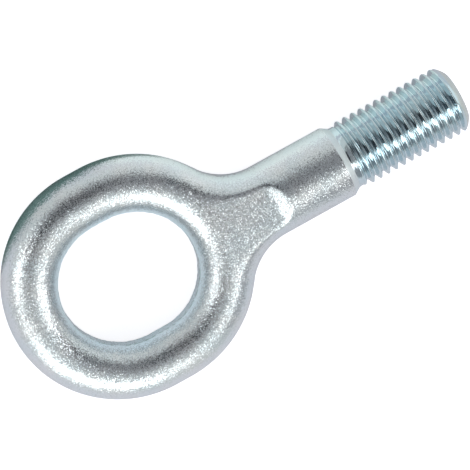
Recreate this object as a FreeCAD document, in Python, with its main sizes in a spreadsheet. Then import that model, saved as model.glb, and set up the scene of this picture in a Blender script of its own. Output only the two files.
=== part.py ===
"""Screw-in towing eye: a forged eye and shank with a threaded end, in one piece.

Millimetres. The origin is the centre of the eye, +X runs along the shank to the thread's tip,
and the eye lies in the XY plane. The threaded end is a cylinder over the crests.
"""

import FreeCAD, Part
import math
import os

import Sketcher

NODE = "tow_eye"

doc = FreeCAD.newDocument("TowingEye")

# Driving dimensions
SIZES = {
    "eye_length": 39.9,  # opening along the shank
    "eye_width": 35.5,  # opening across the shank
    "section_width": 15.5,  # ring's section, inner wall to outer wall
    "section_height": 16.8,  # ring's section, crown to crown
    "trim_land": 4.0,  # height of the flat that the trimming tool leaves on each wall
    "pad_thickness": 16.6,  # neck, across its two pads
    "flare_radius": 15.0,  # concave side of the neck, seen in plan
    "blend_overlap": 0.2,  # how far the flare reaches into the shank and the ring
    "web_reach": 36.0,  # degrees along the ring to the web's corner
    "web_run_out": 50.0,  # degrees along the ring to the web's end
    "web_overhang": 3.7,  # web's corner, outside the ring's crown line
    "web_bury": 1.0,  # how far the web's end sits inside the shank
    "ramp_start": 44.4,  # end of the flat pad
    "ramp_end": 48.4,  # top of the ramp on the shank
    "shank_diameter": 21.2,
    "shank_end": 66.1,
    "shoulder_length": 1.8,
    "neck_diameter": 18.4,
    "neck_length": 2.4,
    "lead_length": 1.4,  # cone from the plain neck up to the crests
    "thread_diameter": 20.0,  # over the crests
    "tip_chamfer": 2.6,
    "overall_reach": 104.4,  # eye's centre to the tip
    "cut_clearance": 1.0,  # reach of a cut past the metal that it removes
}

sheet = doc.addObject("Spreadsheet::Sheet", "sizes")
for row, (alias, size) in enumerate(SIZES.items(), start=1):
    sheet.set(f"A{row}", alias)
    sheet.set(f"B{row}", str(size))
    sheet.setAlias(f"B{row}", alias)
doc.recompute()

# Sizes worked out from the sheet, as expressions
RING_RADIUS = "(sizes.eye_width + sizes.section_width) / 2"
HALF_STRAIGHT = "(sizes.eye_length - sizes.eye_width) / 2"
CROWN_X = f"({HALF_STRAIGHT} + {RING_RADIUS})"
SHANK_RADIUS = "sizes.shank_diameter / 2"
THREAD_RADIUS = "sizes.thread_diameter / 2"
NECK_RADIUS = "sizes.neck_diameter / 2"
PAD_LEVEL = "sizes.pad_thickness / 2"
FLARE_Y = f"({SHANK_RADIUS} + sizes.flare_radius - sizes.blend_overlap)"
FLARE_TO_RING = (
    f"({RING_RADIUS} + sizes.section_width / 2 + sizes.flare_radius - sizes.blend_overlap)"
)
FLARE_X = f"({HALF_STRAIGHT} + sqrt({FLARE_TO_RING} * {FLARE_TO_RING} - {FLARE_Y} * {FLARE_Y}))"
NECK_START = "(sizes.shank_end + sizes.shoulder_length)"
LEAD_START = f"({NECK_START} + sizes.neck_length)"
THREAD_START = f"({LEAD_START} + sizes.lead_length)"


def value(expression):
    """Number that an expression has now, to draw a sketch close to its solved form."""
    return float(sheet.evalExpression(expression))


def plane(body, role):
    return next(f for f in body.Origin.OriginFeatures if f.Role == role)


def new_sketch(body, name, role):
    sketch = body.newObject("Sketcher::SketchObject", name)
    sketch.AttachmentSupport = [(plane(body, role), "")]
    sketch.MapMode = "FlatFace"
    return sketch


def bind(sketch, constraint, name, expression):
    index = sketch.addConstraint(constraint)
    sketch.renameConstraint(index, name)
    sketch.setExpression(f"Constraints.{name}", expression)


def pin_point(sketch, geometry, end, name, corner):
    """Hold one end of a side at a pair of expressions, measured from the sketch's origin."""
    for kind, axis, expression in (("DistanceX", -2, corner[0]), ("DistanceY", -1, corner[1])):
        if expression == "0":
            sketch.addConstraint(Sketcher.Constraint("PointOnObject", geometry, end, axis))
        else:
            held = Sketcher.Constraint(kind, -1, 1, geometry, end, value(expression))
            bind(sketch, held, f"{name}_{kind[-1].lower()}", expression)


def draw_outline(sketch, name, corners, arcs=None):
    """Closed outline through corners. arcs maps a side's number to its centre's expressions and radius."""
    arcs = arcs or {}
    points = [FreeCAD.Vector(value(x), value(y), 0) for x, y in corners]
    sides = []
    for number, start in enumerate(points):
        finish = points[(number + 1) % len(points)]
        if number not in arcs:
            side = sketch.addGeometry(Part.LineSegment(start, finish), False)
            sides.append((side, 1, 2))
            continue
        centre_x, centre_y, radius = arcs[number]
        centre = FreeCAD.Vector(value(centre_x), value(centre_y), 0)
        a, b = start - centre, finish - centre
        forward = a.cross(b).z > 0
        first, last = (a, b) if forward else (b, a)
        begin = math.atan2(first.y, first.x)
        end = math.atan2(last.y, last.x)
        if end < begin:
            end += 2 * math.pi
        circle = Part.Circle(centre, FreeCAD.Vector(0, 0, 1), value(radius))
        side = sketch.addGeometry(Part.ArcOfCircle(circle, begin, end), False)
        sides.append((side, 1, 2) if forward else (side, 2, 1))
    for number, (side, first, last) in enumerate(sides):
        following, following_first, _ = sides[(number + 1) % len(sides)]
        sketch.addConstraint(Sketcher.Constraint("Coincident", side, last, following, following_first))
    for number, (side, first, last) in enumerate(sides):
        pin_point(sketch, side, first, f"{name}{number}", corners[number])
        if number in arcs:
            radius = arcs[number][2]
            bind(sketch, Sketcher.Constraint("Radius", side, value(radius)), f"{name}{number}_r", radius)


def draw_trimmed_oval(sketch, centre_x, half_width, half_height, inner, outer, land):
    """Upright oval on the sketch's horizontal axis, cut flat at its inner and outer sides."""
    centre = FreeCAD.Vector(value(centre_x), 0, 0)
    up = FreeCAD.Vector(0, value(half_height), 0)
    right = FreeCAD.Vector(value(half_width), 0, 0)
    if up.Length >= right.Length:
        oval = Part.Ellipse(centre + up, centre - right, centre)
    else:
        oval = Part.Ellipse(centre + right, centre + up, centre)
    left_x, right_x, land_y = value(inner), value(outer), value(land)
    ends = [FreeCAD.Vector(x, y, 0) for x, y in (
        (right_x, land_y), (left_x, land_y), (left_x, -land_y), (right_x, -land_y))]
    sides = []
    for start, finish in zip(ends, ends[1:] + ends[:1]):
        if len(sides) % 2:
            sides.append(sketch.addGeometry(Part.LineSegment(start, finish), False))
            continue
        begin, end = oval.parameter(start), oval.parameter(finish)
        if end < begin:
            end += 2 * math.pi
        sides.append(sketch.addGeometry(Part.ArcOfEllipse(oval, begin, end), False))
    for side, following in zip(sides, sides[1:] + sides[:1]):
        sketch.addConstraint(Sketcher.Constraint("Coincident", side, 2, following, 1))
    for number, corner in enumerate(((outer, land), (inner, land), (inner, f"-{land}"), (outer, f"-{land}"))):
        pin_point(sketch, sides[number], 1, f"land{number}", corner)
    for arc, name, crown in ((sides[0], "upper", half_height), (sides[2], "lower", f"-{half_height}")):
        pin_point(sketch, arc, 3, f"{name}_centre", (centre_x, "0"))
        top = sketch.addGeometry(Part.Point(FreeCAD.Vector(centre.x, value(crown), 0)), True)
        pin_point(sketch, top, 1, f"{name}_crown", (centre_x, crown))
        sketch.addConstraint(Sketcher.Constraint("PointOnObject", top, 1, arc))


body = doc.addObject("PartDesign::Body", "Body")
body.Label = NODE

# Web between the eye and the shank: a flat plate, level with the two pads
web_outline = new_sketch(body, "WebOutline", "XY_Plane")


def on_ring(offset, angle, side):
    """Point at an angle along the ring's near bend, at an offset from its crown line."""
    reach = f"({RING_RADIUS} + {offset})"
    x = f"{HALF_STRAIGHT} + {reach} * cos({angle} * 1 deg)"
    y = f"{side} * {reach} * sin({angle} * 1 deg)"
    return x, y


WEB_END_X = f"{FLARE_X} + sizes.web_bury"
WEB_END_Y = f"({SHANK_RADIUS} - sizes.web_bury)"
draw_outline(
    web_outline,
    "web",
    [
        on_ring("0", "sizes.web_run_out", "-1"),
        on_ring("sizes.web_overhang", "sizes.web_reach", "-1"),
        (WEB_END_X, f"-{WEB_END_Y}"),
        (WEB_END_X, WEB_END_Y),
        on_ring("sizes.web_overhang", "sizes.web_reach", "1"),
        on_ring("0", "sizes.web_run_out", "1"),
    ],
    {5: (HALF_STRAIGHT, "0", RING_RADIUS)},
)
web = body.newObject("PartDesign::Pad", "Web")
web.Profile = web_outline
web.Midplane = True
web.setExpression("Length", "sizes.pad_thickness")
doc.recompute()

# Concave sides of the neck: the shank's round flank carried round the flare
flare_profile = new_sketch(body, "FlareProfile", "XZ_Plane")
flare_profile.setExpression(".AttachmentOffset.Base.x", FLARE_X)
flare_profile.setExpression(".AttachmentOffset.Base.z", f"-{FLARE_Y}")
FLANK_CENTRE = f"(sizes.flare_radius + {SHANK_RADIUS})"
CUT_LEVEL = f"(({PAD_LEVEL} + {SHANK_RADIUS}) / 2)"
CUT_REACH = f"{FLANK_CENTRE} - sqrt({SHANK_RADIUS} * {SHANK_RADIUS} - {CUT_LEVEL} * {CUT_LEVEL})"
draw_outline(
    flare_profile,
    "flare",
    [
        ("0", f"-{CUT_LEVEL}"),
        (CUT_REACH, f"-{CUT_LEVEL}"),
        (CUT_REACH, CUT_LEVEL),
        ("0", CUT_LEVEL),
    ],
    {1: (FLANK_CENTRE, "0", SHANK_RADIUS)},
)
flare = body.newObject("PartDesign::Groove", "Flare")
flare.Profile = flare_profile
flare.ReferenceAxis = (flare_profile, ["V_Axis"])
flare.Angle = 360
doc.recompute()
flares = body.newObject("PartDesign::Mirrored", "Flares")
flares.Originals = [flare]
flares.MirrorPlane = (plane(body, "XZ_Plane"), [""])
body.Tip = flares
doc.recompute()

# Shank, shoulder, plain neck and the blank of the thread, turned about X
shank_profile = new_sketch(body, "ShankProfile", "XZ_Plane")
TIP_START = "(sizes.overall_reach - sizes.tip_chamfer)"
TIP_FACE = f"({THREAD_RADIUS} - sizes.tip_chamfer)"
draw_outline(
    shank_profile,
    "shank",
    [
        (CROWN_X, "0"),
        ("sizes.overall_reach", "0"),
        ("sizes.overall_reach", TIP_FACE),
        (TIP_START, THREAD_RADIUS),
        (THREAD_START, THREAD_RADIUS),
        (LEAD_START, NECK_RADIUS),
        (NECK_START, NECK_RADIUS),
        ("sizes.shank_end", SHANK_RADIUS),
        (CROWN_X, SHANK_RADIUS),
    ],
)
shank = body.newObject("PartDesign::Revolution", "Shank")
shank.Profile = shank_profile
shank.ReferenceAxis = (shank_profile, ["H_Axis"])
shank.Angle = 360
doc.recompute()

# Flat pads on both faces, each ending in a ramp up to the shank
pad_profile = new_sketch(body, "PadProfile", "XZ_Plane")
CLEAR_LEVEL = f"({SHANK_RADIUS} + sizes.cut_clearance)"
RAMP_RUN = f"(sizes.ramp_end - sizes.ramp_start) / ({SHANK_RADIUS} - {PAD_LEVEL})"
RAMP_CLEAR = f"(sizes.ramp_start + ({CLEAR_LEVEL} - {PAD_LEVEL}) * {RAMP_RUN})"
PAD_BEGIN = f"({CROWN_X} - sizes.cut_clearance)"
for name, sign in (("upper", ""), ("lower", "-")):
    draw_outline(
        pad_profile,
        name,
        [
            (PAD_BEGIN, f"{sign}{PAD_LEVEL}"),
            ("sizes.ramp_start", f"{sign}{PAD_LEVEL}"),
            (RAMP_CLEAR, f"{sign}{CLEAR_LEVEL}"),
            (PAD_BEGIN, f"{sign}{CLEAR_LEVEL}"),
        ],
    )
pads = body.newObject("PartDesign::Pocket", "Pads")
pads.Profile = pad_profile
pads.Midplane = True
pads.setExpression("Length", "sizes.shank_diameter + 2 * sizes.cut_clearance")
doc.recompute()

# Ring: an oval section with trimmed inner and outer walls, swept round the eye
ring_path = new_sketch(body, "RingPath", "XY_Plane")
FAR_X = f"-{CROWN_X}"
draw_outline(
    ring_path,
    "path",
    [
        (HALF_STRAIGHT, f"-{RING_RADIUS}"),
        (CROWN_X, "0"),
        (HALF_STRAIGHT, RING_RADIUS),
        (f"-{HALF_STRAIGHT}", RING_RADIUS),
        (FAR_X, "0"),
        (f"-{HALF_STRAIGHT}", f"-{RING_RADIUS}"),
    ],
    {
        0: (HALF_STRAIGHT, "0", RING_RADIUS),
        1: (HALF_STRAIGHT, "0", RING_RADIUS),
        3: (f"-{HALF_STRAIGHT}", "0", RING_RADIUS),
        4: (f"-{HALF_STRAIGHT}", "0", RING_RADIUS),
    },
)
ring_section = new_sketch(body, "RingSection", "YZ_Plane")
INNER = "sizes.eye_width / 2"
OUTER = "(sizes.eye_width / 2 + sizes.section_width)"
LAND = "sizes.trim_land / 2"
CROWN = "sizes.section_height / 2"
LAND_SHARE = "(sizes.trim_land / sizes.section_height)"
OVAL_HALF_WIDTH = f"(sizes.section_width / 2 / sqrt(1 - {LAND_SHARE} * {LAND_SHARE}))"
draw_trimmed_oval(ring_section, RING_RADIUS, OVAL_HALF_WIDTH, CROWN, INNER, OUTER, LAND)
ring = body.newObject("PartDesign::AdditivePipe", "Ring")
ring.Profile = ring_section
ring.Spine = (ring_path, [f"Edge{n}" for n in range(1, 7)])
doc.recompute()

# Nothing is written unless every object is sound
for item in doc.Objects:
    for bad in ("Invalid", "Error"):
        if bad in item.State:
            raise RuntimeError(f"{item.Name} is {item.State}")
shape = body.Shape
if shape.isNull() or not shape.isValid() or len(shape.Solids) != 1:
    raise RuntimeError(f"{NODE} is not one sound solid")
os.makedirs("parts", exist_ok=True)
shape.exportStep(f"parts/{NODE}.step")
print(NODE, "volume", round(shape.Volume, 1), "faces", len(shape.Faces))
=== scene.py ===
"""Looks of a zinc-plated screw-in towing eye: forged eye and neck, rolled thread, white studio."""

import math

import bmesh
import bpy
import numpy as np
from mathutils import Matrix, Vector


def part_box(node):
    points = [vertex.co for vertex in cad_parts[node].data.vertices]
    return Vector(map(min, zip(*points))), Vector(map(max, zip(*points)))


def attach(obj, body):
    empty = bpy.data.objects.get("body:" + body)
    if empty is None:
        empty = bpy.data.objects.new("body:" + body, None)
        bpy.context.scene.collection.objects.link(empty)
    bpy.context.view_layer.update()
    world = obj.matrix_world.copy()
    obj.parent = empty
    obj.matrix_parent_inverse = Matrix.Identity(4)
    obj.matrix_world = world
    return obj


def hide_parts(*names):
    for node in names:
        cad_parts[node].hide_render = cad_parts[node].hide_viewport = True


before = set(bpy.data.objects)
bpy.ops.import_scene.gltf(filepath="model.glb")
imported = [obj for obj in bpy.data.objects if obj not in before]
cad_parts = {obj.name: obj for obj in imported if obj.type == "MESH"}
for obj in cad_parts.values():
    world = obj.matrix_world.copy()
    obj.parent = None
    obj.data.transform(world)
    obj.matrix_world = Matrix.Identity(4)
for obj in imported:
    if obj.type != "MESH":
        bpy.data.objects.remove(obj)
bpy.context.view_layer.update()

NODE = "tow_eye"
MM = 0.001

# Sizes in millimetres, the outer ones from the frame
low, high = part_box(NODE)
TIP_X = high.x / MM
HALF_WIDTH = high.y / MM
SHANK_R = high.z / MM
SECTION_WIDTH = 15.5
SECTION_HEIGHT = 16.8
TRIM_LAND = 4.0
RING_R = HALF_WIDTH - SECTION_WIDTH / 2
HALF_STRAIGHT = -low.x / MM - HALF_WIDTH
PAD_LEVEL = 8.3
RAMP_START = 44.4
RAMP_END = 48.4
FLARE_R = 17.0
SHANK_END = 66.3
SHOULDER_END = 68.5
NECK_R = 9.2
NECK_END = 69.8

# Thread: its form, its run-out at the neck, and the plain land and rounded chamfer at its tip
THREAD_START = 68.9
THREAD_R = 10.0
PITCH = 2.5
FLANK_ANGLE = math.radians(30)
ROUND_R = 0.3
RUN_OUT_START = 69.5
RUN_OUT_END = 71.2
TIP_CHAMFER = 2.6
TIP_LAND = 1.7
TIP_FADE = 1.5
TIP_BULGE = 0.4
THREAD_PHASE = 1.23

# Widths over which edges are rounded
TRIM_EDGE = 0.2
PAD_EDGE = 0.5
RAMP_FILLET = 0.8
RING_BLEND = 0.25
SHOULDER_EDGE = 0.12
NECK_FILLET = 0.3

# Burr on the hole's land: height, width, its mean share and swing, and its waves as counts with phases
BURR = 0.15
BURR_WIDTH = 0.4
BURR_MEAN = 0.7
BURR_SWING = 0.16
BURR_WAVES = ((7, 0.4), (17, 2.2), (31, 1.1), (53, 2.9), (83, 0.2))

# Meshes: the forging's grid and its cut at the shank's end, the rows round the turned pieces, and the
# places of the thread's columns as shares of the pitch from a crest, close together on the rounds
VOXEL = 0.45
CUT_X = SHANK_END - 0.8
ROWS = 160
SHOULDER_SHARES = (0.25, 0.5, 0.75)
THREAD_STATIONS = (0.0, 0.035, 0.07, 0.104, 0.17, 0.25, 0.33, 0.396, 0.43, 0.465, 0.5)
HIDDEN_OVERLAP = 0.05
HIDDEN_DROP = 0.1
MERGE = 0.001

# Angles in degrees above which an edge is drawn sharp
FORGED_SHARP = 40
SHOULDER_SHARP = 25
THREAD_SHARP = 35


def soft_min(a, b, width):
    """Smaller of two distances, rounded where they are within width of each other."""
    overlap = np.maximum(width - np.abs(a - b), 0.0) / width
    return np.minimum(a, b) - overlap * overlap * width / 4


def soft_max(a, b, width):
    return -soft_min(-a, -b, width)


def ease(share):
    """Smooth step from 0 to 1."""
    share = np.clip(share, 0, 1)
    return share * share * (3 - 2 * share)


def half_plane(x, y, start, finish):
    """Distance to the left of a line in plan that runs from start to finish."""
    dx = finish[0] - start[0]
    dy = finish[1] - start[1]
    return ((y - start[1]) * dx - (x - start[0]) * dy) / math.hypot(dx, dy)


def oval_distance(across, z):
    """Ring section: an oval, trimmed at its inner and outer walls."""
    tall = SECTION_HEIGHT / 2
    wide = SECTION_WIDTH / 2 / math.sqrt(1 - (TRIM_LAND / SECTION_HEIGHT) ** 2)
    reach = np.hypot(across / wide, z / tall)
    slope = np.hypot(across / wide**2, z / tall**2)
    oval = reach * (reach - 1) / np.maximum(slope, 1e-9)
    return soft_max(oval, np.abs(across) - SECTION_WIDTH / 2, TRIM_EDGE)


def neck_distance(x, y, z, across):
    """Shank and flared neck, with a flat pad and ramp on both faces.

    The neck's flank turns about a centre on either side, from the shank's round to the ring's oval.
    """
    side = np.abs(y)
    flare_y = SHANK_R + FLARE_R
    flare_x = HALF_STRAIGHT + math.sqrt((RING_R + SECTION_WIDTH / 2 + FLARE_R) ** 2 - flare_y**2)
    full_turn = math.atan2(flare_x - HALF_STRAIGHT, flare_y)
    share = ease(np.arctan2(flare_x - x, flare_y - side) / full_turn)
    flank = np.where(x < flare_x, FLARE_R - np.hypot(x - flare_x, side - flare_y), side - SHANK_R)
    round_part = np.hypot(np.maximum(flank + SHANK_R, 0), z) - SHANK_R
    oval_part = oval_distance(np.maximum(flank + SECTION_WIDTH / 2, 0), z)
    body = round_part + (oval_part - round_part) * share
    past_ring = half_plane(x, side, (HALF_STRAIGHT, 0), (flare_x, flare_y))
    body = np.maximum(body, np.maximum(-across, np.where(x < flare_x, past_ring, -SHANK_R)))
    slope = (SHANK_R - PAD_LEVEL) / (RAMP_END - RAMP_START)
    level = np.abs(z) - PAD_LEVEL
    ramp = (level - (x - RAMP_START) * slope) / math.hypot(1, slope)
    return soft_max(body, soft_min(level, ramp, RAMP_FILLET), PAD_EDGE)


def burr_height(x, y, z, across):
    """Torn edge that trimming leaves along both borders of the hole's land, uneven round the hole."""
    turn = np.arctan2(y, x)
    uneven = sum(np.sin(count * turn + phase) for count, phase in BURR_WAVES)
    rise = BURR * np.clip(BURR_MEAN + BURR_SWING * uneven, 0, 1)
    beside = (np.abs(z) - TRIM_LAND / 2) / BURR_WIDTH
    return np.where(across < 0, rise * np.exp(-beside * beside), 0)


def forging_distance(points):
    """Distance from the soft-edged surface of the ring, neck and shank, less than 0 inside."""
    x, y, z = points.T
    along = x - np.clip(x, -HALF_STRAIGHT, HALF_STRAIGHT)
    across = np.hypot(along, y) - RING_R
    ring = oval_distance(across, z) - burr_height(x, y, z, across)
    return soft_min(ring, neck_distance(x, y, z, across), RING_BLEND)


def settle(points, rounds=8, step=0.01, stride=0.4, least_slope=0.05):
    """Move points onto the forging's surface along its gradient."""
    for _ in range(rounds):
        gap = forging_distance(points)
        gradient = np.empty_like(points)
        for axis in range(3):
            shift = np.zeros(3)
            shift[axis] = step
            gradient[:, axis] = forging_distance(points + shift) - forging_distance(points - shift)
        gradient /= 2 * step
        size = np.maximum((gradient**2).sum(1), least_slope)
        move = np.clip(gap / size, -stride, stride)
        points = points - gradient * move[:, None]
    return points


def new_object(name, data):
    item = bpy.data.objects.new(name, data)
    bpy.context.scene.collection.objects.link(item)
    return item


def close_ends(shape):
    """Cap open ends and turn all faces outward."""
    edge = [e for e in shape.edges if e.is_boundary]
    bmesh.ops.holes_fill(shape, edges=edge, sides=0)
    bmesh.ops.recalc_face_normals(shape, faces=shape.faces[:])


def make_forging():
    """Even mesh of the eye, neck and shank, drawn over the solid and settled onto its soft-edged form."""
    item = new_object("forged_eye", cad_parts[NODE].data.copy())
    remesh = item.modifiers.new("even", "REMESH")
    remesh.mode = "VOXEL"
    remesh.voxel_size = VOXEL * MM
    bpy.context.view_layer.update()
    evaluated = item.evaluated_get(bpy.context.evaluated_depsgraph_get())
    mesh = bpy.data.meshes.new_from_object(evaluated)
    item.modifiers.clear()
    item.data = mesh
    shape = bmesh.new()
    shape.from_mesh(mesh)
    bmesh.ops.bisect_plane(
        shape,
        geom=shape.verts[:] + shape.edges[:] + shape.faces[:],
        plane_co=(CUT_X * MM, 0, 0),
        plane_no=(1, 0, 0),
        clear_outer=True,
    )
    points = np.array([v.co for v in shape.verts]) / MM
    inside = points[:, 0] < CUT_X - VOXEL / 4
    points[inside] = settle(points[inside])
    rim = ~inside
    reach = np.hypot(points[rim, 1], points[rim, 2])
    points[rim, 1:] *= (SHANK_R / reach)[:, None]
    for vertex, point in zip(shape.verts, points * MM):
        vertex.co = point
    close_ends(shape)
    shape.to_mesh(mesh)
    shape.free()
    return item


def make_shoulder():
    """Turned end of the shank as rings of points: a crisp edge, the chamfer and the plain neck."""
    run = SHOULDER_END - SHANK_END
    fall = SHANK_R - NECK_R
    slope = math.atan2(fall, run)
    outline = [(CUT_X, SHANK_R), (SHANK_END - SHOULDER_EDGE, SHANK_R)]
    outline.append((SHANK_END + SHOULDER_EDGE * math.cos(slope), SHANK_R - SHOULDER_EDGE * math.sin(slope)))
    for share in SHOULDER_SHARES:
        outline.append((SHANK_END + run * share, SHANK_R - fall * share))
    outline.append((SHOULDER_END - NECK_FILLET * math.cos(slope), NECK_R + NECK_FILLET * math.sin(slope)))
    outline += [(SHOULDER_END + NECK_FILLET, NECK_R), (NECK_END, NECK_R)]
    turns = [2 * math.pi * row / ROWS for row in range(ROWS)]
    shape = bmesh.new()
    rings = []
    for x, radius in outline:
        ring = [Vector((x, radius * math.cos(t), radius * math.sin(t))) for t in turns]
        rings.append([shape.verts.new(point * MM) for point in ring])
    for near, far in zip(rings, rings[1:]):
        for row in range(ROWS):
            shape.faces.new((near[row - 1], near[row], far[row], far[row - 1]))
    shape.faces.new(rings[0])
    shape.faces.new(rings[-1])
    bmesh.ops.recalc_face_normals(shape, faces=shape.faces[:])
    mesh = bpy.data.meshes.new("turned_shoulder")
    shape.to_mesh(mesh)
    shape.free()
    return new_object("turned_shoulder", mesh)


def thread_radius(offset):
    """Radius at an offset along the axis from a crest's middle: flanks with round crest and root."""
    away = np.abs((offset + PITCH / 2) % PITCH - PITCH / 2)
    flank_slope = math.tan(math.radians(90) - FLANK_ANGLE)
    reach = ROUND_R * math.cos(FLANK_ANGLE)
    drop = ROUND_R * (1 - math.sin(FLANK_ANGLE))
    depth = 2 * drop + (PITCH / 2 - 2 * reach) * flank_slope
    flank = THREAD_R - drop - (away - reach) * flank_slope
    crest = THREAD_R - ROUND_R + np.sqrt(np.maximum(ROUND_R**2 - away**2, 0))
    root = THREAD_R - depth + ROUND_R - np.sqrt(np.maximum(ROUND_R**2 - (PITCH / 2 - away) ** 2, 0))
    return np.where(away < reach, crest, np.where(PITCH / 2 - away < reach, root, flank))


def thread_points():
    """Grid of points whose columns follow the helix, so that crests and roots stay crisp."""
    shares = np.array(sorted([-s for s in THREAD_STATIONS[1:-1]] + list(THREAD_STATIONS)))
    first_turn = math.floor((THREAD_START - TIP_X) / PITCH) - 2
    turns = np.arange(first_turn, 3)
    start = (turns[:, None] + shares).ravel() * PITCH + TIP_X
    angle = np.arange(ROWS) / ROWS
    x = np.clip(start[:, None] + PITCH * angle, THREAD_START, TIP_X)
    radius = thread_radius(x - PITCH * angle - TIP_X)
    grow = ease((x - RUN_OUT_START) / (RUN_OUT_END - RUN_OUT_START))
    radius = NECK_R + (radius - NECK_R) * grow
    radius = THREAD_R + (radius - THREAD_R) * ease((TIP_X - TIP_LAND - x) / TIP_FADE)
    radius = np.where(x < NECK_END - HIDDEN_OVERLAP, NECK_R - HIDDEN_DROP, radius)
    tip_share = np.clip((x - TIP_X + TIP_CHAMFER) / TIP_CHAMFER, 0, 1)
    envelope = THREAD_R - TIP_CHAMFER * tip_share + TIP_BULGE * 4 * tip_share * (1 - tip_share)
    radius = np.minimum(radius, envelope)
    turn = 2 * math.pi * angle + THREAD_PHASE
    points = np.stack([x, radius * np.cos(turn), radius * np.sin(turn)], axis=-1)
    return points, len(shares)


def make_thread():
    """Right-hand rolled thread: a row of the grid is joined to the first row one turn further on."""
    points, per_turn = thread_points()
    columns = len(points)
    shape = bmesh.new()
    grid = [[shape.verts.new(point) for point in column] for column in points * MM]
    for c in range(columns - 1):
        for r in range(ROWS - 1):
            shape.faces.new((grid[c][r], grid[c + 1][r], grid[c + 1][r + 1], grid[c][r + 1]))
    for c in range(columns - 1 - per_turn):
        on = c + per_turn
        shape.faces.new((grid[c][-1], grid[c + 1][-1], grid[on + 1][0], grid[on][0]))
    bmesh.ops.remove_doubles(shape, verts=shape.verts[:], dist=MERGE * MM)
    bmesh.ops.dissolve_degenerate(shape, edges=shape.edges[:], dist=MERGE * MM)
    loose = [v for v in shape.verts if not v.link_faces]
    bmesh.ops.delete(shape, geom=loose, context="VERTS")
    close_ends(shape)
    mesh = bpy.data.meshes.new("rolled_thread")
    shape.to_mesh(mesh)
    shape.free()
    return new_object("rolled_thread", mesh)


def smooth(item, degrees):
    item.data.shade_smooth()
    item.data.set_sharp_from_angle(angle=math.radians(degrees))


# Zinc's tint: how far apart its patches are, in metres, and the shares of the noise that it spans
TINT_SIZE = 0.008
TINT_SHARES = (0.35, 0.65)
FACET_RANDOMNESS = 0.8

# Trim line of painted shade: width and reach from the eye's middle in millimetres, size of its breaks in
# metres, colour
LINE_WIDTH = 0.6
LINE_REACH = 21.0
LINE_BREAK = 0.0016
LINE_SHARES = (0.45, 0.6)
TRIM_SHADE_COLOUR = (0.30, 0.40, 0.37)


def add_node(tree, kind, operation=None):
    node = tree.nodes.new("ShaderNode" + kind)
    if operation:
        node.operation = operation
    return node


def plated_steel(name, cool, warm, roughness, facet, facet_tilt):
    """Bright zinc whose tint drifts, over a grain of small facets that each lean their own way.

    A facet's size is given along the part's axis and across it. Few facets lean far.
    """
    material = bpy.data.materials.new(name)
    material.use_nodes = True
    tree = material.node_tree
    link = tree.links.new
    shader = tree.nodes["Principled BSDF"]
    shader.inputs["Metallic"].default_value = 1.0
    shader.inputs["Roughness"].default_value = roughness
    place = add_node(tree, "TexCoord")
    drift = add_node(tree, "TexNoise")
    drift.inputs["Scale"].default_value = 1 / TINT_SIZE
    tint = add_node(tree, "ValToRGB")
    for stop, share, colour in zip(tint.color_ramp.elements, TINT_SHARES, (cool, warm)):
        stop.position = share
        stop.color = (*colour, 1)
    spread = add_node(tree, "Mapping")
    spread.inputs["Scale"].default_value = (1 / facet[0], 1 / facet[1], 1 / facet[1])
    cells = add_node(tree, "TexVoronoi")
    cells.inputs["Scale"].default_value = 1.0
    cells.inputs["Randomness"].default_value = FACET_RANDOMNESS
    lean = add_node(tree, "VectorMath", "MULTIPLY_ADD")
    lean.inputs[1].default_value = (2.0, 2.0, 2.0)
    lean.inputs[2].default_value = (-1.0, -1.0, -1.0)
    size = add_node(tree, "VectorMath", "ABSOLUTE")
    strength = add_node(tree, "VectorMath", "SCALE")
    strength.inputs["Scale"].default_value = facet_tilt
    few_steep = add_node(tree, "VectorMath", "MULTIPLY")
    surface = add_node(tree, "NewGeometry")
    leaned = add_node(tree, "VectorMath", "ADD")
    unit = add_node(tree, "VectorMath", "NORMALIZE")
    link(place.outputs["Object"], drift.inputs["Vector"])
    link(drift.outputs["Fac"], tint.inputs["Fac"])
    link(tint.outputs["Color"], shader.inputs["Base Color"])
    link(place.outputs["Object"], spread.inputs["Vector"])
    link(spread.outputs["Vector"], cells.inputs["Vector"])
    link(cells.outputs["Color"], lean.inputs[0])
    link(lean.outputs[0], size.inputs[0])
    link(size.outputs[0], strength.inputs[0])
    link(lean.outputs[0], few_steep.inputs[0])
    link(strength.outputs[0], few_steep.inputs[1])
    link(surface.outputs["Normal"], leaned.inputs[0])
    link(few_steep.outputs[0], leaned.inputs[1])
    link(leaned.outputs[0], unit.inputs[0])
    link(unit.outputs[0], shader.inputs["Normal"])
    return material


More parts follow.
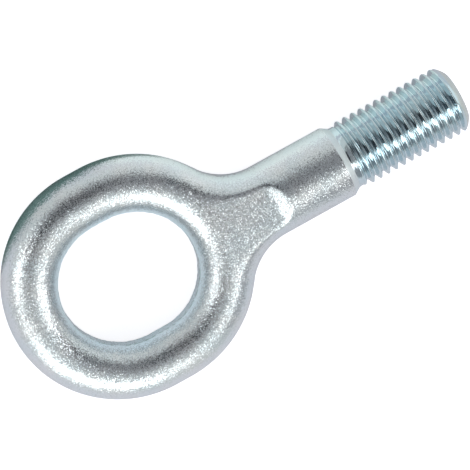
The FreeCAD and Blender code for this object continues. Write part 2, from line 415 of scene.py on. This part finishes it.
def add_trim_shade_line(material):
    """Dark, broken line of painted shade along both borders of the hole's land, where trimming leaves a torn
    edge.
    """
    tree = material.node_tree
    link = tree.links.new
    base = tree.nodes["Principled BSDF"].inputs["Base Color"]
    tint = base.links[0].from_socket
    place = add_node(tree, "TexCoord")
    axes = add_node(tree, "SeparateXYZ")
    height = add_node(tree, "Math", "ABSOLUTE")
    border = add_node(tree, "Math", "COMPARE")
    border.inputs[1].default_value = TRIM_LAND / 2 * MM
    border.inputs[2].default_value = LINE_WIDTH / 2 * MM
    plan = add_node(tree, "VectorMath", "MULTIPLY")
    plan.inputs[1].default_value = (1, 1, 0)
    reach = add_node(tree, "VectorMath", "LENGTH")
    in_hole = add_node(tree, "Math", "LESS_THAN")
    in_hole.inputs[1].default_value = LINE_REACH * MM
    breaks = add_node(tree, "TexNoise")
    breaks.inputs["Scale"].default_value = 1 / LINE_BREAK
    share = add_node(tree, "MapRange")
    share.inputs["From Min"].default_value = LINE_SHARES[0]
    share.inputs["From Max"].default_value = LINE_SHARES[1]
    on_wall = add_node(tree, "Math", "MULTIPLY")
    line = add_node(tree, "Math", "MULTIPLY")
    blend = add_node(tree, "Mix")
    blend.data_type = "RGBA"
    blend.inputs["B"].default_value = (*TRIM_SHADE_COLOUR, 1)
    link(place.outputs["Object"], axes.inputs[0])
    link(axes.outputs["Z"], height.inputs[0])
    link(height.outputs[0], border.inputs[0])
    link(place.outputs["Object"], plan.inputs[0])
    link(plan.outputs["Vector"], reach.inputs[0])
    link(reach.outputs["Value"], in_hole.inputs[0])
    link(place.outputs["Object"], breaks.inputs["Vector"])
    link(breaks.outputs["Fac"], share.inputs["Value"])
    link(border.outputs[0], on_wall.inputs[0])
    link(in_hole.outputs[0], on_wall.inputs[1])
    link(on_wall.outputs[0], line.inputs[0])
    link(share.outputs["Result"], line.inputs[1])
    link(line.outputs[0], blend.inputs["Factor"])
    link(tint, blend.inputs["A"])
    link(blend.outputs["Result"], base)


forged_zinc = plated_steel(
    "forged_zinc",
    cool=(0.70, 0.76, 0.785),
    warm=(0.74, 0.77, 0.78),
    roughness=0.20,
    facet=(0.00017, 0.00017),
    facet_tilt=0.23,
)
turned_zinc = plated_steel(
    "turned_zinc",
    cool=(0.69, 0.77, 0.80),
    warm=(0.73, 0.78, 0.79),
    roughness=0.42,
    facet=(0.0003, 0.003),
    facet_tilt=0.10,
)
thread_zinc = plated_steel(
    "thread_zinc",
    cool=(0.59, 0.715, 0.765),
    warm=(0.63, 0.725, 0.755),
    roughness=0.10,
    facet=(0.0003, 0.004),
    facet_tilt=0.05,
)
tip_zinc = plated_steel(
    "tip_zinc",
    cool=(0.63, 0.70, 0.67),
    warm=(0.69, 0.71, 0.66),
    roughness=0.26,
    facet=(0.0003, 0.004),
    facet_tilt=0.12,
)
# Painted shade: a dark broken line along both borders of the hole's land
add_trim_shade_line(forged_zinc)


def dress(item, degrees, materials):
    """Smooth a piece and give it its materials, in the order of their slots."""
    smooth(item, degrees)
    item.data.materials.clear()
    for material in materials:
        item.data.materials.append(material)


END_FACING = 0.99
forged = make_forging()
shoulder = make_shoulder()
thread = make_thread()
dress(forged, FORGED_SHARP, [forged_zinc])
dress(shoulder, SHOULDER_SHARP, [forged_zinc, turned_zinc, thread_zinc])
dress(thread, THREAD_SHARP, [thread_zinc, tip_zinc, forged_zinc])
for face in shoulder.data.polygons:
    face.material_index = int(face.center.x > SHANK_END * MM) + int(face.center.x > SHOULDER_END * MM)
for face in thread.data.polygons:
    face.material_index = int(face.center.x > (TIP_X - TIP_LAND) * MM) + int(face.normal.x > END_FACING)
for piece in (forged, shoulder, thread):
    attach(piece, "root")
    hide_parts(NODE)

# Floor, tilted to touch the ring's far end and the shank as they come to rest
FLOOR_SIZE = 3.0
PAPER_COLOUR = (0.65, 0.64, 0.69, 1)
PAPER_ROUGHNESS = 0.9
PAPER_GLOW = 0.72
PAPER_GLOW_IN_METAL = 0.07
far_contact = -(HALF_STRAIGHT + RING_R)
tilt = math.atan2(SHANK_R - SECTION_HEIGHT / 2, RAMP_END - far_contact)
bpy.ops.mesh.primitive_plane_add(
    size=FLOOR_SIZE, location=(far_contact * MM, 0, -SECTION_HEIGHT / 2 * MM)
)
floor = bpy.context.object
floor.name = "floor"
floor.rotation_euler = (0, tilt, 0)
paper = bpy.data.materials.new("paper")
paper.use_nodes = True
paper_tree = paper.node_tree
sheet = paper_tree.nodes["Principled BSDF"]
sheet.inputs["Base Color"].default_value = PAPER_COLOUR
sheet.inputs["Roughness"].default_value = PAPER_ROUGHNESS
sheet.inputs["Emission Color"].default_value = (1, 1, 1, 1)
path = add_node(paper_tree, "LightPath")
seen_glow = add_node(paper_tree, "Math", "MULTIPLY")
seen_glow.inputs[1].default_value = PAPER_GLOW
whole_glow = add_node(paper_tree, "Math", "MULTIPLY_ADD")
whole_glow.inputs[1].default_value = PAPER_GLOW_IN_METAL
paper_tree.links.new(path.outputs["Is Camera Ray"], seen_glow.inputs[0])
paper_tree.links.new(path.outputs["Is Glossy Ray"], whole_glow.inputs[0])
paper_tree.links.new(seen_glow.outputs[0], whole_glow.inputs[2])
paper_tree.links.new(whole_glow.outputs[0], sheet.inputs["Emission Strength"])
floor.data.materials.append(paper)

# Camera: above the eye, turned so that the shank points to the upper right
EYE = Vector((-0.00487, 0.13930, 0.53546))
AIM = Vector((0.03156, -0.00419, -0.00007))
ROLL = math.radians(137.2)
FOCAL_LENGTH = 153.19
SENSOR_WIDTH = 36
NEAR_CLIP = 0.05
camera = new_object("camera", bpy.data.cameras.new("camera"))
camera.data.lens = FOCAL_LENGTH
camera.data.sensor_width = SENSOR_WIDTH
camera.data.clip_start = NEAR_CLIP
turned = (AIM - EYE).to_track_quat("-Z", "Y").to_matrix() @ Matrix.Rotation(ROLL, 3, "Z")
camera.matrix_world = Matrix.Translation(EYE) @ turned.to_4x4()
bpy.context.scene.camera = camera

# Studio round the lens: a pale surround, white boxes below and at both sides, weak panels behind
SUBJECT = Vector((0.030, 0.0, 0.0))
RIGHT, UP, BACK = (camera.matrix_world.to_3x3().col[i] for i in range(3))
WHITE = (1.0, 1.0, 1.0)
PALE_GREEN = (0.95, 1.0, 0.98)
BOX_DISTANCE = 0.6
PANEL_DISTANCE = 0.7
FAR_DISTANCE = 1.5
FAR_BOX_ALONG = RIGHT * 0.16 - UP * 0.76 - BACK * 0.63
CORNER_BOX_ALONG = RIGHT * 0.45 + UP * 0.89


def around_lens(tilt_degrees, turn_degrees):
    """Direction at an angle from the lens axis, turned anticlockwise from the picture's right."""
    tilt_angle = math.radians(tilt_degrees)
    turn = math.radians(turn_degrees)
    outward = RIGHT * math.cos(turn) + UP * math.sin(turn)
    return BACK * math.cos(tilt_angle) + outward * math.sin(tilt_angle)


def facing_turn(facing, along):
    """Rotation that points local Z along facing and local X as near as it can along another direction."""
    side = along - facing * along.dot(facing)
    side.normalize()
    return Matrix((side, facing.cross(side), facing)).transposed().to_4x4()


def soft_box(name, direction, distance, size, along, radiance, colour=WHITE):
    """Area lamp of a given width and height that faces the subject."""
    width, height = size
    lamp = bpy.data.lights.new(name, "AREA")
    lamp.shape = "RECTANGLE"
    lamp.size = width
    lamp.size_y = height
    lamp.energy = radiance * math.pi * width * height
    lamp.color = colour
    item = new_object(name, lamp)
    item.matrix_world = Matrix.Translation(SUBJECT + direction * distance) @ facing_turn(direction, along)


soft_box("near_box", around_lens(63, -94), BOX_DISTANCE, (0.62, 0.26), RIGHT, 2.3)
soft_box("right_box", around_lens(68, -8), FAR_DISTANCE, (0.64, 0.46), FAR_BOX_ALONG, 3.0)
soft_box("corner_box", around_lens(52, -27), BOX_DISTANCE, (0.19, 0.18), CORNER_BOX_ALONG, 2.0)
soft_box("left_box", around_lens(49, 200), BOX_DISTANCE, (0.22, 0.25), RIGHT, 2.0)
soft_box("top_panel", around_lens(62, 90), PANEL_DISTANCE, (1.2, 0.36), RIGHT, 0.05, PALE_GREEN)
soft_box("back_panel", around_lens(84, 92), PANEL_DISTANCE, (1.0, 0.3), RIGHT, 0.3, PALE_GREEN)
soft_box("corner_panel", around_lens(84, 35), PANEL_DISTANCE, (0.5, 0.4), UP, 0.35, PALE_GREEN)

# Surround: pale grey to the part, white to the camera
SURROUND_COLOUR = (0.65, 0.67, 0.67, 1)
world = bpy.data.worlds.new("studio")
bpy.context.scene.world = world
world.use_nodes = True
surround = add_node(world.node_tree, "Mix")
surround.data_type = "RGBA"
surround.inputs["A"].default_value = SURROUND_COLOUR
surround.inputs["B"].default_value = (1, 1, 1, 1)
seen = add_node(world.node_tree, "LightPath")
backdrop = world.node_tree.nodes["Background"]
world.node_tree.links.new(seen.outputs["Is Camera Ray"], surround.inputs["Factor"])
world.node_tree.links.new(surround.outputs["Result"], backdrop.inputs["Color"])


def card(name, colour, opacity, glow, corners):
    """Card or veil that only reflections see: dark as a flag, or glowing as a reflector. A glowing card is
    painted light.
    """
    mesh = bpy.data.meshes.new(name)
    mesh.from_pydata(corners, [], [range(len(corners))])
    item = new_object(name, mesh)
    item.visible_camera = False
    item.visible_shadow = False
    item.visible_diffuse = False
    cloth = bpy.data.materials.new(name)
    cloth.use_nodes = True
    shader = cloth.node_tree.nodes["Principled BSDF"]
    shader.inputs["Base Color"].default_value = (*colour, 1)
    shader.inputs["Roughness"].default_value = 1.0
    shader.inputs["Alpha"].default_value = opacity
    shader.inputs["Emission Color"].default_value = (*colour, 1)
    shader.inputs["Emission Strength"].default_value = glow
    mesh.materials.append(cloth)


def lens_corners(corners, distance, middle=SUBJECT):
    """Corners of a card in front of a point, each by its angle from the lens axis and its turn."""
    return [middle + around_lens(*corner) * distance for corner in corners]


# Cards round the lens, each corner as its angle from the lens axis and its turn from the picture's right
LENS_FLAG = [
    (38, 134), (34, 90), (34, 48), (36, 20), (40, -8), (29, -25),
    (20, -50), (22, -90), (27, 230), (34, 205), (41, 180), (40, 158),
]
ARM_FLAG = [(36, 52), (52, 46), (64, 26), (68, 12), (60, 2), (42, 0), (32, 10)]
LENS_VEIL = [
    (44, 134), (42, 90), (46, 58), (60, 36), (70, 14), (60, -2), (44, -14),
    (32, -30), (27, -55), (29, -90), (29, 235), (33, 210), (43, 184), (45, 160),
]
LENS = [(30, 145), (31, 180), (26, 210), (14, 245), (4, 300), (6, 40), (20, 70), (27, 105)]
LEFT_VEIL = [(66, 184), (64, 200), (66, 218), (82, 216), (86, 200), (82, 184)]
RIGHT_FLAG = [(66, -40), (63, -12), (55, 1), (76, 10), (92, 6), (98, -20), (92, -40)]
FLAG_DISTANCE = 0.40
ARM_FLAG_DISTANCE = 0.39
VEIL_DISTANCE = 0.38
LENS_DISTANCE = 0.28
RIGHT_RIM = Vector((0.020, -0.020, 0.005))
RIGHT_FLAG_DISTANCE = 0.12
card("lens_flag", (0.72, 0.72, 0.72), 1.0, 0.0, lens_corners(LENS_FLAG, FLAG_DISTANCE))
card("arm_flag", (0.05, 0.05, 0.06), 1.0, 0.0, lens_corners(ARM_FLAG, ARM_FLAG_DISTANCE))
card("lens_veil", (0.08, 0.08, 0.08), 0.45, 0.0, lens_corners(LENS_VEIL, VEIL_DISTANCE))
card("lens", (0.03, 0.03, 0.03), 0.85, 0.0, lens_corners(LENS, LENS_DISTANCE))
card("left_veil", (0.2, 0.2, 0.22), 0.25, 0.0, lens_corners(LEFT_VEIL, VEIL_DISTANCE))
# Painted shade: the right flag is a grey sheet low at the picture's right, seen only in reflections in place
# of the floor's shade there
card("right_flag", (0.35, 0.35, 0.37), 0.85, 0.0, lens_corners(RIGHT_FLAG, RIGHT_FLAG_DISTANCE, RIGHT_RIM))

# Cards on the floor, each corner as its distance from the eye's middle and its turn from the picture's right
SIDE_SHADOW_FLAG = [
    (0.031, 62), (0.037, 80), (0.045, 100), (0.06, 115), (0.12, 132), (0.12, 152),
    (0.05, 166), (0.031, 178), (0.029, 152), (0.029, 126), (0.029, 94),
]
BACK_GLOW_CARD = [
    (0.034, 112), (0.034, 80), (0.038, 62), (0.047, 47), (0.061, 39.5),
    (0.1, 35), (0.13, 50), (0.11, 75), (0.08, 100),
]
HOLE_GLOW_CARD = [(0.0175, turn) for turn in range(0, 360, 15)]
CARD_RISE = 0.0001
UPRIGHT = Vector((math.sin(tilt), 0, math.cos(tilt)))


def on_floor(rise, reach, turn_degrees):
    """Point above the floor, at a distance from the eye's middle, turned from the picture's right."""
    turn = math.radians(turn_degrees)
    outward = RIGHT * math.cos(turn) + UP * math.sin(turn)
    outward -= UPRIGHT * outward.dot(UPRIGHT)
    outward.normalize()
    height = floor.location.dot(UPRIGHT) + rise
    return outward * reach + UPRIGHT * height


# The side flag is painted shadow that only reflections see: dark teal veils on the floor at the ring's upper
# left, stacked so that its ends and its far border fade. Each veil has a share of the flag's turn about its
# middle, and of its width beyond its near border.
SIDE_MIDDLE = 120
SIDE_REACH = 0.029
SIDE_RISE = 0.0002
SIDE_LAYERS = ((1.1, 1.2), (1.03, 1.0), (0.96, 0.8), (0.88, 0.6))
for layer, (turn_share, reach_share) in enumerate(SIDE_LAYERS):
    veil_corners = []
    for reach, turn in SIDE_SHADOW_FLAG:
        layer_reach = SIDE_REACH + (reach - SIDE_REACH) * reach_share
        layer_turn = SIDE_MIDDLE + (turn - SIDE_MIDDLE) * turn_share
        veil_corners.append(on_floor(SIDE_RISE * (layer + 1), layer_reach, layer_turn))
    card(f"side_shadow_flag_{layer}", (0.09, 0.19, 0.17), 0.45, 0.0, veil_corners)

# Painted light: a glowing pale card on the floor at the picture's top, beside the ring and shank, seen only
# in reflections in place of a brighter lit floor
card("back_glow_card", (0.94, 1.0, 0.98), 1.0, 0.1, [on_floor(CARD_RISE, *corner) for corner in BACK_GLOW_CARD])
# Painted light: a glowing bluish card on the floor inside the eye's hole, seen only in reflections in place
# of a brighter lit floor
card("hole_glow_card", (0.85, 0.94, 1.0), 1.0, 0.12, [on_floor(CARD_RISE, *corner) for corner in HOLE_GLOW_CARD])

bpy.context.scene.view_settings.view_transform = "Standard"
